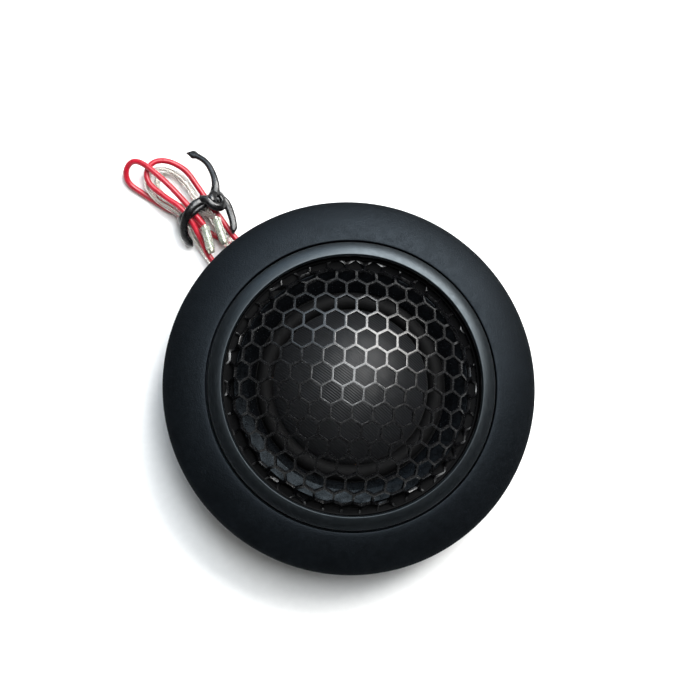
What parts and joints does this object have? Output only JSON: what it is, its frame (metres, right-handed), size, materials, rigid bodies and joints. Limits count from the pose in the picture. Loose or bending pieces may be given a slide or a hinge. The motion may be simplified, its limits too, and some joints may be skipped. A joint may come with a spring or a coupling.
{
  "type": "flush-mount car tweeter",
  "caption": "Round dome tweeter capsule behind a domed hexagonal grille, in a wide black flush-mount ring, with thin leads folded and tied at its edge.",
  "frame": {"origin": "centre of the capsule's back face, on the surface it stands on", "axes": "+Z out of the dome along the tweeter's axis, +Y towards the side where the leads lie, +X to the right seen from the front"},
  "size_m": [0.0684, 0.0728, 0.022],
  "materials": {
    "flange_plastic": "finely textured matt black with a blue cast",
    "bezel_plastic": "satin black",
    "mesh_paint": "semi-gloss black paint",
    "gloss_black": "gloss black",
    "silk": "coated silk with a fine diagonal weave",
    "surround_cloth": "coated cloth",
    "former_film": "amber film",
    "copper_wire": "enamelled copper",
    "felt": "pressed felt",
    "plated_steel": "zinc plated",
    "magnet_nickel": "nickel plated",
    "housing_plastic": "moulded matt black",
    "black_screw": "black zinc",
    "phenolic": "paper phenolic",
    "tinned_brass": "dull tin plate",
    "black_rubber": "moulded rubber",
    "foam": "closed-cell foam",
    "red_insulation": "glossy soft PVC",
    "clear_insulation": "clear soft PVC",
    "tinned_strands": "tinned copper strands",
    "tie_plastic": "satin black plastic",
    "clear_sleeve": "clear sleeve"
  },
  "bodies": {
    "capsule": {"front_bezel": "bezel_plastic", "grille_mesh": "mesh_paint", "grille_retainer": "bezel_plastic", "waveguide_ring": "gloss_black", "surround": "surround_cloth", "diaphragm_ring": "housing_plastic", "damping_pad": "felt", "pole_plate": "plated_steel", "magnet": "magnet_nickel", "yoke_cup": "plated_steel", "rear_housing": "housing_plastic", "housing_screws": "black_screw", "terminal_board": "phenolic", "terminal_positive": "tinned_brass", "terminal_negative": "tinned_brass", "terminal_rivets": "tinned_brass", "coil_leadout_positive": "copper_wire", "coil_leadout_negative": "copper_wire", "lead_grommet": "black_rubber", "lead_red": "red_insulation", "lead_clear": "clear_insulation", "lead_hank": "red_insulation", "twist_tie": "tie_plastic", "crimp_red": "tinned_brass", "crimp_clear": "tinned_brass", "crimp_sleeves": "clear_sleeve"},
    "mounting_ring": {"mounting_flange": "flange_plastic", "flange_gasket": "foam"},
    "diaphragm": {"silk_dome": "silk", "coil_former": "former_film", "coil_winding": "copper_wire"}
  },
  "joints": [
    {"name": "bayonet_turn", "type": "hinge", "parent": "capsule", "child": "mounting_ring", "pos_m": [0, 0, 0.008], "axis": [0, 0, 1], "range_deg": [0, 20]},
    {"name": "dome_travel", "type": "slide", "parent": "capsule", "child": "diaphragm", "axis": [0, 0, 1], "range_m": [-0.0004, 0.0004], "stiffness_N_per_m": 60}
  ]
}
